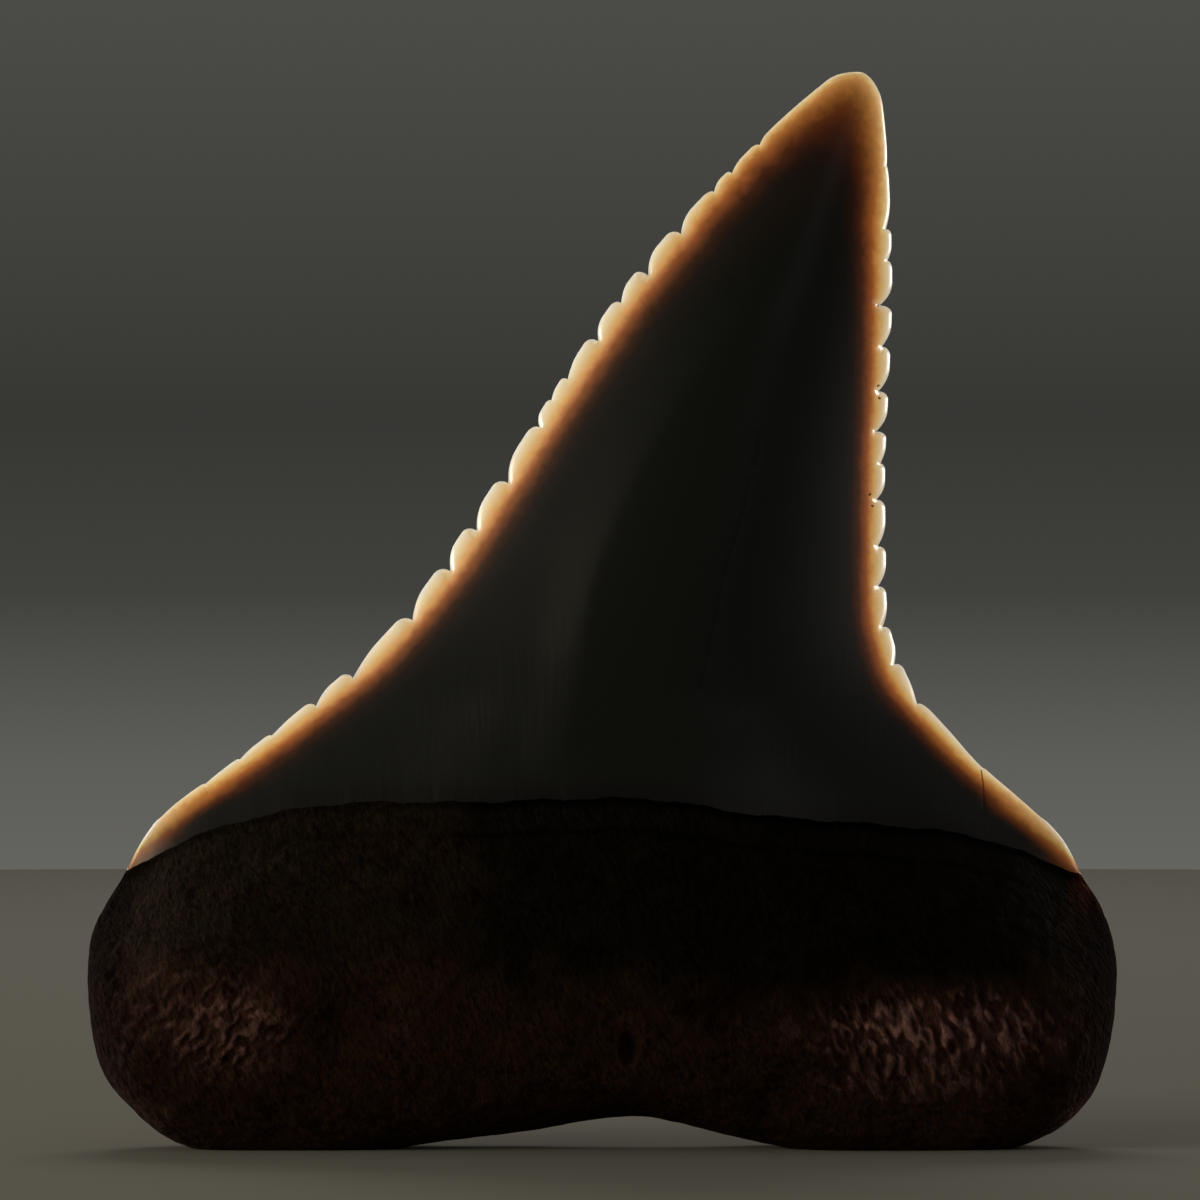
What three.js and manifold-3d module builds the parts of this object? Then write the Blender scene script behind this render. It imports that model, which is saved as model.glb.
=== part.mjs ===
// A fossil great white shark tooth: one solid piece, standing on the two lobes of its root.
// Sizes are in millimetres. +X is the distal side, towards which the crown leans, -Y is the
// lingual face, with the bulging root, and +Z runs up to the tip. The origin lies on the
// resting plane under the middle of the tooth.

import * as THREE from "three";
import { mergeVertices } from "three/addons/utils/BufferGeometryUtils.js";
import Module from "manifold-3d";

const { clamp, lerp, smoothstep } = THREE.MathUtils;

// Smooth outline seen from the lingual side, as [x, z], clockwise from the mesial lobe's
// corner. It runs over the peaks of the serrations.
const MESIAL_SIDE = [
  [-16.8, 0.85],
  [-18.4, 2.6],
  [-18.96, 4.5],
  [-19.13, 7.0],
  [-18.85, 8.4],
  [-17.82, 10.2],
  [-17.1, 11.5],
  [-16.0, 12.7],
  [-14.15, 14.05],
  [-11.5, 16.1],
  [-8.75, 18.45],
  [-6.7, 20.8],
  [-4.45, 24.1],
  [-2.2, 27.6],
  [0.0, 30.95],
  [2.05, 33.6],
  [4.35, 36.05],
  [6.6, 38.25],
];
const TIP_ARC = [
  [8.05, 39.5],
  [8.71, 39.96],
  [9.49, 40.1],
  [9.9, 39.98],
  [10.27, 39.5],
];
const DISTAL_SIDE = [
  [10.5, 38.7],
  [10.72, 36.0],
  [10.84, 32.3],
  [10.75, 29.2],
  [10.58, 25.5],
  [10.6, 22.5],
  [10.66, 19.95],
  [11.03, 18.4],
  [11.75, 16.87],
  [12.86, 15.58],
  [14.2, 14.15],
  [15.8, 12.75],
  [17.2, 11.4],
  [17.9, 10.1],
  [18.7, 8.75],
  [19.1, 7.2],
  [19.07, 5.7],
  [18.8, 3.7],
  [18.2, 2.05],
];
// The lobes dip below the resting plane, which then cuts a flat spot on each of them.
const BASE = [
  [17.2, 0.93],
  [16.3, 0.4],
  [15.2, 0.0],
  [13.0, -0.4],
  [10.0, -0.4],
  [7.5, -0.1],
  [4.83, 0.45],
  [2.6, 1.0],
  [1.24, 1.2],
  [-0.8, 1.0],
  [-3.1, 0.6],
  [-6.0, 0.25],
  [-9.0, -0.2],
  [-11.5, -0.4],
  [-13.8, -0.35],
  [-15.5, 0.1],
];

// Notches between the serrations, from the tip down, as [height, depth]. At the foot the
// depth falls below nothing, where the cut leaves the edge.
const MESIAL_NOTCHES = [
  [38.4, 0.0],
  [37.46, 0.15],
  [36.43, 0.17],
  [35.74, 0.19],
  [34.29, 0.38],
  [32.77, 0.46],
  [31.62, 0.27],
  [30.25, 0.4],
  [28.72, 0.21],
  [27.89, 0.13],
  [26.97, 0.3],
  [24.96, 0.45],
  [23.18, 0.43],
  [21.69, 0.46],
  [19.87, 0.43],
  [17.71, 0.35],
  [16.6, 0.28],
  [15.36, 0.1],
  [14.46, 0.09],
  [13.52, 0.06],
  [12.8, 0.0],
  [11.8, -0.2],
];
const DISTAL_NOTCHES = [
  [38.4, 0.0],
  [36.59, 0.05],
  [34.23, 0.2],
  [33.04, 0.17],
  [31.36, 0.47],
  [29.81, 0.32],
  [28.14, 0.38],
  [26.64, 0.38],
  [25.45, 0.18],
  [24.11, 0.33],
  [22.37, 0.31],
  [20.87, 0.31],
  [19.4, 0.27],
  [18.04, 0.27],
  [16.6, 0.22],
  [14.1, 0.04],
  [12.8, 0.0],
  [11.8, -0.2],
];
const SERRATION_RISE = 0.2; // share of a serration's length over which its upper shoulder rises
const SERRATION_FALL = 0.45; // share after which its lower flank falls away
const SERRATION_SAMPLES = [0, 0.08, 0.2, 0.5, 0.7, 0.87];

// Lower edge of the enamel on the lingual face, as [x, z]
const ENAMEL_FOOT = [
  [-19.2, 9.9],
  [-17.8, 10.2],
  [-14.9, 11.6],
  [-10.2, 12.7],
  [-4.5, 12.9],
  [1.4, 13.05],
  [5.8, 12.4],
  [13.2, 11.6],
  [17.9, 10.1],
  [19.2, 9.8],
];

// Depths across the tooth
const CUTTING_EDGE_Y = 3.03; // the cutting edges stand this far behind the middle of the root
const CROWN_LINGUAL_SWELL = 5.1; // in front of the cutting edges, at the crown's foot
const CROWN_LABIAL_SWELL = 1.0; // behind them
const CROWN_FOOT_HEIGHT = 12; // the crown thins from here up to the tip
const CROWN_REACH = 29; // height above the foot at which it would thin to nothing
const LINGUAL_TAPER = 1.6; // powers of the share of that height, for the thinning
const LABIAL_TAPER = 3;
const LINGUAL_DOME = 1.15; // powers of the crown's domed section
const LABIAL_DOME = 0.8;
const ROOT_RIM_Y = -2.1; // the root's rim stands this far in front of the cutting edges
const ROOT_LINGUAL_DEPTH = 3.3; // in front of the rim, out at the lobes
const ROOT_HEEL_DEPTH = 1.7; // added by the bulge in the middle of the root
const ROOT_HEEL_X = 1.0;
const ROOT_HEEL_WIDTH = 8;
const ROOT_LABIAL_DEPTH = 2.9; // behind the rim
const ROOT_LINGUAL_ROUNDING = 5.6;
const ROOT_LABIAL_ROUNDING = 2.6;
const ROOT_BLEND_SHARE = 0.5; // share of the enamel foot's height where root turns to crown
const BLADE_MARGIN = 0.12; // the blank reaches this far past the serrations, so they end blunt
const BLADE_HALF_THICKNESS = 0.1;
const MARGIN_FADE = [11, 13.6]; // heights over which that margin grows in above the shoulders

// Lumps of the worn root: waves that cross each other at many angles
const LUMP_WAVES = 7;
const LUMP_HEIGHT = 0.15;
const LONGEST_LUMP = 7.5;
const SHORTEST_LUMP = 3.2;
const LUMP_TURN = 2.4; // radians from one wave's direction to the next
const LUMP_PHASE = 1.7;
const LABIAL_LUMP_SHIFT = 40; // the labial face reads the same waves this far away

// Nutrient foramen, the pit in the middle of the lingual face of the root
const FORAMEN_CENTRE = [1.0, 3.9];
const FORAMEN_RADII = [0.5, 1.1, 0.8];
const FORAMEN_FACETS = [12, 8];

// Mesh density
const SPAN_STEPS = 8; // outline points for each control point
const COLUMNS = 40;
const COLUMN_CROWDING = 0.85; // 1 crowds the columns towards the sides as on a circle
const RIM_ROWS = 7;
const ROOT_ROWS = 12;
const CROWN_ROWS = 27;
const RIM_TOP = 3.4;
const ROOT_TOP = 13;

const CUTTER_REACH = 25; // half the width of the block that carries the serrated outline
const CUTTER_TOP = 11;
const CUTTER_DEPTH = 20;

const wasm = await Module();
wasm.setup();

// Places of the four corners and the apex in the outline's list of control points
const MESIAL_CORNER = 0;
const TIP_MESIAL = MESIAL_SIDE.length;
const TIP_DISTAL = TIP_MESIAL + TIP_ARC.length - 1;
const APEX = TIP_MESIAL + 2;
const DISTAL_CORNER = TIP_DISTAL + DISTAL_SIDE.length + 1;
const OUTLINE_CONTROLS = [...MESIAL_SIDE, ...TIP_ARC, ...DISTAL_SIDE, ...BASE];

/** Points along the closed outline, SPAN_STEPS for each control point. */
function smoothOutline() {
  const controls = OUTLINE_CONTROLS.map(([x, z]) => new THREE.Vector3(x, 0, z));
  const curve = new THREE.CatmullRomCurve3(controls, true, "catmullrom");
  const count = controls.length * SPAN_STEPS;
  return Array.from({ length: count }, (_, k) => {
    const point = curve.getPoint(k / count);
    return [point.x, point.z];
  });
}

/** Unit vectors that point out of a closed clockwise outline, one for each point. */
function outwardNormals(outline) {
  return outline.map((_, k) => {
    const before = outline.at(k - 1);
    const after = outline[(k + 1) % outline.length];
    const along = new THREE.Vector2(after[0] - before[0], after[1] - before[1]).normalize();
    return [-along.y, along.x];
  });
}

/** The blank's outline: the crown's edges moved out by the blade margin. */
function grownOutline(outline, normals) {
  return outline.map(([x, z], k) => {
    const margin = BLADE_MARGIN * smoothstep(z, ...MARGIN_FADE);
    return [x + normals[k][0] * margin, z + normals[k][1] * margin];
  });
}

/** The stretch of a closed outline between two of its control points. */
function stretch(outline, fromControl, toControl) {
  const first = fromControl * SPAN_STEPS;
  const last = toControl * SPAN_STEPS;
  return Array.from(
    { length: last - first + 1 },
    (_, k) => outline[(first + k) % outline.length],
  );
}

/** The row of a table that is monotone in one column, read between its rows. */
function readAt(table, column, value) {
  const rising = table.at(-1)[column] > table[0][column];
  const reached = (row) => (rising ? row[column] >= value : row[column] <= value);
  const found = table.findIndex(reached);
  const upper = found < 0 ? table.length - 1 : Math.max(found, 1);
  const [a, b] = [table[upper - 1], table[upper]];
  const share = clamp((value - a[column]) / (b[column] - a[column]), 0, 1);
  return a.map((number, k) => lerp(number, b[k], share));
}

const outline = smoothOutline();
const normals = outwardNormals(outline);
const blank = grownOutline(outline, normals);
const mesialLine = stretch(blank, MESIAL_CORNER, TIP_MESIAL);
const tipLine = stretch(blank, TIP_MESIAL, TIP_DISTAL);
const distalLine = stretch(blank, TIP_DISTAL, DISTAL_CORNER).reverse();
const baseLine = stretch(blank, DISTAL_CORNER, OUTLINE_CONTROLS.length).reverse();
const mesialToApex = stretch(blank, MESIAL_CORNER, APEX);
const distalToApex = stretch(blank, APEX, DISTAL_CORNER).reverse();
const enamelFoot = new THREE.SplineCurve(
  ENAMEL_FOOT.map(([x, z]) => new THREE.Vector2(x, z)),
)
  .getPoints(ENAMEL_FOOT.length * SPAN_STEPS)
  .map((point) => [point.x, point.y]);

/** Distance from a point of the face to the blank's outline. */
function edgeDistance(x, z) {
  let nearest = Infinity;
  blank.forEach(([ax, az], k) => {
    const [bx, bz] = blank[(k + 1) % blank.length];
    const [dx, dz] = [bx - ax, bz - az];
    const share = clamp(((x - ax) * dx + (z - az) * dz) / (dx * dx + dz * dz), 0, 1);
    nearest = Math.min(nearest, Math.hypot(x - ax - share * dx, z - az - share * dz));
  });
  return nearest;
}

/** Height of a quarter circle above its rim, as a share of its radius. */
function quarterCircle(share) {
  return Math.sqrt(1 - (1 - clamp(share, 0, 1)) ** 2);
}

/** Height of the worn root's lumps at a place, about 0 on the whole. */
function lumps(x, z) {
  let sum = 0;
  for (let k = 0; k < LUMP_WAVES; k += 1) {
    const length = lerp(LONGEST_LUMP, SHORTEST_LUMP, k / (LUMP_WAVES - 1));
    const along = x * Math.cos(k * LUMP_TURN) + z * Math.sin(k * LUMP_TURN);
    sum += Math.sin((2 * Math.PI * along) / length + k * LUMP_PHASE);
  }
  return (LUMP_HEIGHT * sum) / Math.sqrt(LUMP_WAVES);
}

/** The y of the lingual and labial faces and of the rim between them. */
function facesAt(x, z) {
  const distance = edgeDistance(x, z);
  const [, footHeight] = readAt(enamelFoot, 0, x);
  const crownShare = smoothstep(z, ROOT_BLEND_SHARE * footHeight, footHeight);

  const [left] = readAt(mesialToApex, 1, z);
  const [right] = readAt(distalToApex, 1, z);
  const across = (2 * x - left - right) / Math.max(right - left, BLADE_MARGIN);
  const dome = Math.max(0, 1 - across ** 2);
  const rise = Math.max(0, z - CROWN_FOOT_HEIGHT) / CROWN_REACH;
  const blade = BLADE_HALF_THICKNESS * clamp(distance / BLADE_MARGIN, 0, 1);
  const crownLingual =
    CROWN_LINGUAL_SWELL * (1 - rise ** LINGUAL_TAPER) * dome ** LINGUAL_DOME + blade;
  const crownLabial =
    CROWN_LABIAL_SWELL * (1 - rise ** LABIAL_TAPER) * dome ** LABIAL_DOME + blade;

  const heel = Math.exp(-(((x - ROOT_HEEL_X) / ROOT_HEEL_WIDTH) ** 2));
  const lingualRound = quarterCircle(distance / ROOT_LINGUAL_ROUNDING);
  const labialRound = quarterCircle(distance / ROOT_LABIAL_ROUNDING);
  const lingualLump = lumps(x, z);
  const labialLump = lumps(x + LABIAL_LUMP_SHIFT, z);
  const rootLingual =
    (ROOT_LINGUAL_DEPTH + ROOT_HEEL_DEPTH * heel + lingualLump) * lingualRound;
  const rootLabial = (ROOT_LABIAL_DEPTH + labialLump) * labialRound;

  return {
    lingual: lerp(ROOT_RIM_Y - rootLingual, -crownLingual, crownShare),
    labial: lerp(ROOT_RIM_Y + rootLabial, crownLabial, crownShare),
    rim: lerp(ROOT_RIM_Y, 0, crownShare),
  };
}

/** Shares of the way across, from 0 to 1, crowded towards both sides. */
function columnShares() {
  return Array.from({ length: COLUMNS + 1 }, (_, k) => {
    const share = k / COLUMNS;
    return lerp(share, (1 - Math.cos(Math.PI * share)) / 2, COLUMN_CROWDING);
  });
}

/** Shares of the way up, from 0 at the base to 1 at the tip, crowded towards the base. */
function rowShares() {
  const bottom = mesialLine[0][1];
  const top = mesialLine.at(-1)[1];
  const heights = [];
  for (let k = 0; k < RIM_ROWS; k += 1) {
    heights.push(bottom + RIM_TOP * (1 - Math.cos((Math.PI / 2) * (k / RIM_ROWS))));
  }
  for (let k = 0; k < ROOT_ROWS; k += 1) {
    heights.push(lerp(bottom + RIM_TOP, ROOT_TOP, k / ROOT_ROWS));
  }
  for (let k = 0; k <= CROWN_ROWS; k += 1) {
    heights.push(lerp(ROOT_TOP, top, k / CROWN_ROWS));
  }
  return heights.map((height) => (height - bottom) / (top - bottom));
}

/** A point of the face between the four boundary lines, as [x, z]. */
function patchPoint(across, up) {
  const pick = (line, column, share) =>
    readAt(line, column, lerp(line[0][column], line.at(-1)[column], share));
  const left = pick(mesialLine, 1, up);
  const right = pick(distalLine, 1, up);
  const bottom = pick(baseLine, 0, across);
  const top = pick(tipLine, 0, across);
  return [0, 1].map((k) => {
    const corners = lerp(
      lerp(baseLine[0][k], baseLine.at(-1)[k], across),
      lerp(tipLine[0][k], tipLine.at(-1)[k], across),
      up,
    );
    return lerp(left[k], right[k], across) + lerp(bottom[k], top[k], up) - corners;
  });
}

/** The blank: two faces that share the points of their rim. */
function blankGeometry() {
  const columns = columnShares();
  const rows = rowShares();
  const positions = [];
  const lingualIds = [];
  const labialIds = [];
  rows.forEach((up, j) => {
    columns.forEach((across, i) => {
      const [x, z] = patchPoint(across, up);
      const onRim = i === 0 || j === 0 || i === COLUMNS || j === rows.length - 1;
      const { lingual, labial, rim } = facesAt(x, z);
      lingualIds.push(positions.length / 3);
      positions.push(x, onRim ? rim : lingual, z);
      labialIds.push(onRim ? lingualIds.at(-1) : positions.length / 3);
      if (!onRim) {
        positions.push(x, labial, z);
      }
    });
  });

  const triangles = [];
  const width = columns.length;
  for (let j = 0; j + 1 < rows.length; j += 1) {
    for (let i = 0; i < COLUMNS; i += 1) {
      const corner = j * width + i;
      const cell = [corner, corner + 1, corner + width + 1, corner + width];
      const [a, b, c, d] = cell.map((id) => lingualIds[id]);
      const [e, f, g, h] = cell.map((id) => labialIds[id]);
      triangles.push(a, b, c, a, c, d, e, g, f, e, h, g);
    }
  }
  const geometry = new THREE.BufferGeometry();
  geometry.setAttribute("position", new THREE.Float32BufferAttribute(positions, 3));
  geometry.setIndex(triangles);
  return geometry;
}

/** How far a serration stands out at a share of its length, from 0 in the notch to 1. */
function serrationProfile(share) {
  const shoulder = quarterCircle(share / SERRATION_RISE);
  const flank = Math.max(0, (share - SERRATION_FALL) / (1 - SERRATION_FALL));
  return shoulder * (1 - flank ** 2);
}

/** The serrated edge of one side, from the tip down, as [x, z] points. */
function serratedEdge(side, notches) {
  const edge = [];
  notches.slice(1).forEach(([lowerHeight, lowerDepth], k) => {
    const [upperHeight, upperDepth] = notches[k];
    SERRATION_SAMPLES.forEach((share) => {
      const [x, z, outX, outZ] = readAt(side, 1, lerp(upperHeight, lowerHeight, share));
      const inset = lerp(upperDepth, lowerDepth, share) * (1 - serrationProfile(share));
      edge.push([x - outX * inset, z - outZ * inset]);
    });
  });
  return edge;
}

/** A block whose outline is the serrated crown above the plane that the tooth rests on. */
function serrationCutter() {
  const withNormals = outline.map((point, k) => [...point, ...normals[k]]);
  const mesial = stretch(withNormals, MESIAL_CORNER, APEX);
  const distal = stretch(withNormals, APEX, DISTAL_CORNER);
  const tip = stretch(withNormals, TIP_MESIAL - 1, TIP_DISTAL + 1)
    .filter(([, z]) => z > MESIAL_NOTCHES[0][0])
    .filter((_, k) => k % 2 === 0);
  const points = [
    [-CUTTER_REACH, 0],
    [-CUTTER_REACH, CUTTER_TOP],
    ...serratedEdge(mesial, MESIAL_NOTCHES).reverse(),
    ...tip,
    ...serratedEdge(distal, DISTAL_NOTCHES),
    [CUTTER_REACH, CUTTER_TOP],
    [CUTTER_REACH, 0],
  ];
  const shape = new THREE.Shape(points.map(([x, z]) => new THREE.Vector2(x, z)));
  const block = new THREE.ExtrudeGeometry(shape, {
    depth: CUTTER_DEPTH,
    bevelEnabled: false,
  });
  block.rotateX(Math.PI / 2);
  block.translate(0, CUTTER_DEPTH / 2, 0);
  return block;
}

/** A small egg-shaped block, sunk into the lingual face of the root, that cuts the foramen. */
function foramenCutter() {
  const [x, z] = FORAMEN_CENTRE;
  const pit = new THREE.SphereGeometry(1, ...FORAMEN_FACETS);
  pit.scale(...FORAMEN_RADII);
  pit.translate(x, facesAt(x, z).lingual, z);
  return pit;
}

/** A closed geometry as a manifold-3d solid. */
function solidOf(geometry) {
  const bare = geometry.clone();
  bare.deleteAttribute("normal");
  bare.deleteAttribute("uv");
  const merged = mergeVertices(bare);
  return new wasm.Manifold(
    new wasm.Mesh({
      numProp: 3,
      vertProperties: merged.attributes.position.array,
      triVerts: new Uint32Array(merged.index.array),
    }),
  );
}

/** A manifold-3d solid as a three.js geometry. */
function geometryOf(solid) {
  const mesh = solid.getMesh();
  const geometry = new THREE.BufferGeometry();
  geometry.setAttribute("position", new THREE.BufferAttribute(mesh.vertProperties, 3));
  geometry.setIndex(new THREE.BufferAttribute(mesh.triVerts, 1));
  return geometry;
}

const fossil = new THREE.MeshStandardMaterial({
  color: 0x2b2a20,
  roughness: 0.45,
  metalness: 0,
  flatShading: true,
});

const toothSolid = solidOf(blankGeometry())
  .intersect(solidOf(serrationCutter()))
  .subtract(solidOf(foramenCutter()));
const tooth = new THREE.Mesh(geometryOf(toothSolid), fossil);
tooth.name = "tooth";
tooth.position.y = CUTTING_EDGE_Y;

const part = new THREE.Group();
part.add(tooth);

export default part;
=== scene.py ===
"""Looks of a fossil great white shark tooth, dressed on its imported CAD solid.

The tooth is one natural piece, so one dense mesh stands for the CAD node. It is built in
millimetres from the same outline and depths as the solid, in the same frame, and scaled to
metres at the end. +X is the distal side, -Y the lingual face and +Z runs up to the tip.
"""

import logging
import math
from collections.abc import Sequence
from dataclasses import dataclass
from enum import Enum

import bpy
import numpy as np
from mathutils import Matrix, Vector, kdtree, noise
from mathutils.geometry import delaunay_2d_cdt
from numpy.typing import NDArray


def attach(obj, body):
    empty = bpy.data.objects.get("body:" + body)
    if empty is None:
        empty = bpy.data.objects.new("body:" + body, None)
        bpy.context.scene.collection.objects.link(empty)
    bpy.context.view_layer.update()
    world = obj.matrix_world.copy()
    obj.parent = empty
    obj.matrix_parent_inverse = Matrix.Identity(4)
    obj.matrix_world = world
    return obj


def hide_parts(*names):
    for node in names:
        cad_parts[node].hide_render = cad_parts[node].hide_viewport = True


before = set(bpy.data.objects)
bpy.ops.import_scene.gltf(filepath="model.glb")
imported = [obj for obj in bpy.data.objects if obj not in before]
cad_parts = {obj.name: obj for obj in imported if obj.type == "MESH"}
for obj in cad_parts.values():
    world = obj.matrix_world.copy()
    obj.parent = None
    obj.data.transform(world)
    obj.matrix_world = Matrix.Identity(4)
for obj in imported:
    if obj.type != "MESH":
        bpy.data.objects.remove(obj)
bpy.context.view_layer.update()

LOG = logging.getLogger("fossil_tooth")
MM = 0.001

Array = NDArray[np.float64]
Colour = tuple[float, float, float]
Point = tuple[float, float]

# Smooth outline from the lingual side, as (x, z), clockwise from the mesial lobe's corner
MESIAL_SIDE: list[Point] = [
    (-16.8, 0.85), (-18.4, 2.6), (-18.96, 4.5), (-19.13, 7.0), (-18.85, 8.4), (-17.82, 10.2),
    (-17.1, 11.5), (-16.0, 12.7), (-14.15, 14.05), (-11.5, 16.1), (-8.75, 18.45), (-6.7, 20.8),
    (-4.45, 24.1), (-2.2, 27.6), (0.0, 30.95), (2.05, 33.6), (4.35, 36.05), (6.6, 38.25),
]
TIP_ARC: list[Point] = [(8.05, 39.5), (8.71, 39.96), (9.49, 40.1), (9.9, 39.98), (10.27, 39.5)]
DISTAL_SIDE: list[Point] = [
    (10.5, 38.7), (10.72, 36.0), (10.84, 32.3), (10.75, 29.2), (10.58, 25.5), (10.6, 22.5),
    (10.66, 19.95), (11.03, 18.4), (11.75, 16.87), (12.86, 15.58), (14.2, 14.15), (15.8, 12.75),
    (17.2, 11.4), (17.9, 10.1), (18.7, 8.75), (19.1, 7.2), (19.07, 5.7), (18.8, 3.7),
    (18.2, 2.05),
]
BASE: list[Point] = [
    (17.2, 0.93), (16.3, 0.4), (15.2, 0.0), (13.0, -0.4), (10.0, -0.4), (7.5, -0.1),
    (4.83, 0.45), (2.6, 1.0), (1.24, 1.2), (-0.8, 1.0), (-3.1, 0.6), (-6.0, 0.25),
    (-9.0, -0.2), (-11.5, -0.4), (-13.8, -0.35), (-15.5, 0.1),
]
APEX_CONTROL = len(MESIAL_SIDE) + 2
DISTAL_CORNER_CONTROL = len(MESIAL_SIDE) + len(TIP_ARC) + len(DISTAL_SIDE)

# Notches between the serrations, from the tip down, as (height, depth)
MESIAL_NOTCHES: list[Point] = [
    (38.4, 0.0), (37.46, 0.15), (36.43, 0.17), (35.74, 0.19), (34.29, 0.38), (32.77, 0.46),
    (31.62, 0.27), (30.25, 0.4), (28.72, 0.21), (27.89, 0.13), (26.97, 0.3), (24.96, 0.45),
    (23.18, 0.43), (21.69, 0.46), (19.87, 0.43), (17.71, 0.35), (16.6, 0.28), (15.36, 0.1),
    (14.46, 0.09), (13.52, 0.06), (12.8, 0.0), (11.8, -0.2),
]
DISTAL_NOTCHES: list[Point] = [
    (38.4, 0.0), (36.59, 0.05), (34.23, 0.2), (33.04, 0.17), (31.36, 0.47), (29.81, 0.32),
    (28.14, 0.38), (26.64, 0.38), (25.45, 0.18), (24.11, 0.33), (22.37, 0.31), (20.87, 0.31),
    (19.4, 0.27), (18.04, 0.27), (16.6, 0.22), (14.1, 0.04), (12.8, 0.0), (11.8, -0.2),
]

# Lower edge of the enamel on the two faces, as (x, z). The labial one is a guess.
LINGUAL_FOOT: list[Point] = [
    (-19.2, 9.9), (-17.8, 10.2), (-14.9, 11.6), (-10.2, 12.7), (-4.5, 12.9), (1.4, 13.05),
    (5.8, 12.4), (13.2, 11.6), (17.9, 10.1), (19.2, 9.8),
]
LABIAL_FOOT: list[Point] = [
    (-19.2, 9.7), (-17.6, 9.9), (-14.0, 10.2), (-9.0, 10.5), (-4.0, 11.4), (1.0, 12.2),
    (5.5, 11.6), (10.0, 10.5), (14.5, 10.1), (17.6, 9.8), (19.2, 9.6),
]


class Face(Enum):
    """The two broad faces of the tooth, each with the sign of its outward y."""

    LINGUAL = -1
    LABIAL = 1

    def index(self) -> int:
        """Return the place of the face's number in a pair, the lingual one first."""
        return 0 if self is Face.LINGUAL else 1


def smoothstep(values: Array, low: float | Array, high: float | Array) -> Array:
    """Rise smoothly from 0 at low to 1 at high.

    Args:
        values: Numbers to place between the two limits.
        low: Where the rise starts.
        high: Where it ends.

    Returns:
        The rise at each number, from 0 to 1.
    """
    share = np.clip((values - low) / (high - low), 0, 1)
    return share * share * (3 - 2 * share)


def quarter_circle(share: Array) -> Array:
    """Return the height of a quarter circle above its rim, as a share of its radius."""
    return np.sqrt(1 - (1 - np.clip(share, 0, 1)) ** 2)


def spline(controls: Sequence[Point], steps: int, closed: bool) -> Array:
    """Draw a uniform Catmull-Rom curve through control points.

    Args:
        controls: The points that the curve passes.
        steps: How many points it has for each control point.
        closed: Whether it runs back to its first point.

    Returns:
        The curve's points, one a row. A closed curve doesn't repeat its first point.
    """
    knots = np.array(controls)
    before = np.roll(knots, 1, axis=0)
    after = np.roll(knots, -1, axis=0)
    if not closed:
        before[0] = knots[0]
        after[-1] = knots[-1]
    slopes = (after - before) / 2
    spans = len(knots) if closed else len(knots) - 1
    share = np.linspace(0, 1, steps, endpoint=False)[:, None]
    cube, square = share**3, share**2
    pieces = []
    for k in range(spans):
        end = (k + 1) % len(knots)
        pieces.append(
            (2 * cube - 3 * square + 1) * knots[k]
            + (cube - 2 * square + share) * slopes[k]
            + (3 * square - 2 * cube) * knots[end]
            + (cube - square) * slopes[end]
        )
    if not closed:
        pieces.append(knots[-1:])
    return np.concatenate(pieces)


def resampled(line: Array, spacing: float) -> Array:
    """Place rows of a line, with any further columns, at even steps of its first two columns.

    Args:
        line: The line's points, one a row, with x and z first.
        spacing: The wanted step.

    Returns:
        The evenly spaced rows, both ends kept.
    """
    reach = np.concatenate([[0], np.cumsum(np.linalg.norm(np.diff(line[:, :2], axis=0), axis=1))])
    count = max(2, round(reach[-1] / spacing) + 1)
    places = np.linspace(0, reach[-1], count)
    return np.stack([np.interp(places, reach, column) for column in line.T], axis=1)


@dataclass(frozen=True)
class Serrations:
    """The serrations of one cutting edge: rounded shoulders above, slow flanks below."""

    notches: Sequence[Point]
    rise: float = 0.2
    fall: float = 0.45
    samples: tuple[float, ...] = (
        0, 0.015, 0.04, 0.08, 0.13, 0.19, 0.26, 0.35, 0.45, 0.54, 0.63, 0.72, 0.8, 0.87, 0.93, 0.975,
    )

    def profile(self, share: Array) -> Array:
        """Return how far a serration stands out at a share of its length, from 0 to 1."""
        flank = np.maximum(0, (share - self.fall) / (1 - self.fall))
        return quarter_circle(share / self.rise) * (1 - flank**2)

    def edge(self) -> tuple[Array, Array]:
        """Trace the edge from the tip down.

        Returns:
            The heights of its points and how far each lies inside the smooth outline.
        """
        share = np.array(self.samples)
        heights, insets = [], []
        for (top, top_depth), (low, low_depth) in zip(self.notches, self.notches[1:]):
            heights.append(top + (low - top) * share)
            depth = top_depth + (low_depth - top_depth) * share
            insets.append(depth * (1 - self.profile(share)))
        return np.concatenate(heights), np.concatenate(insets)


class DistanceField:
    """Distances from places on the face to a closed line."""

    def __init__(self, line: Array, closed: bool = True) -> None:
        """Index the points of the line.

        Args:
            line: The line's points, as rows of x and z.
            closed: Whether it runs back to its first point.
        """
        self.line = line
        self.closed = closed
        self.tree = kdtree.KDTree(len(line))
        for k, (x, z) in enumerate(line):
            self.tree.insert((x, z, 0), k)
        self.tree.balance()

    def __call__(self, places: Array) -> Array:
        """Measure from places to the line.

        Args:
            places: Rows of x and z.

        Returns:
            The distance of each place to the line.
        """
        nearest = np.array([self.tree.find((x, z, 0))[1] for x, z in places])
        best = np.full(len(places), np.inf)
        for first in (nearest - 1, nearest):
            if not self.closed:
                first = np.clip(first, 0, len(self.line) - 2)
            start = self.line[first]
            along = self.line[(first + 1) % len(self.line)] - start
            share = np.sum((places - start) * along, 1) / np.sum(along * along, 1)
            share = np.clip(share, 0, 1)[:, None]
            best = np.minimum(best, np.linalg.norm(places - start - share * along, axis=1))
        return best


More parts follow.
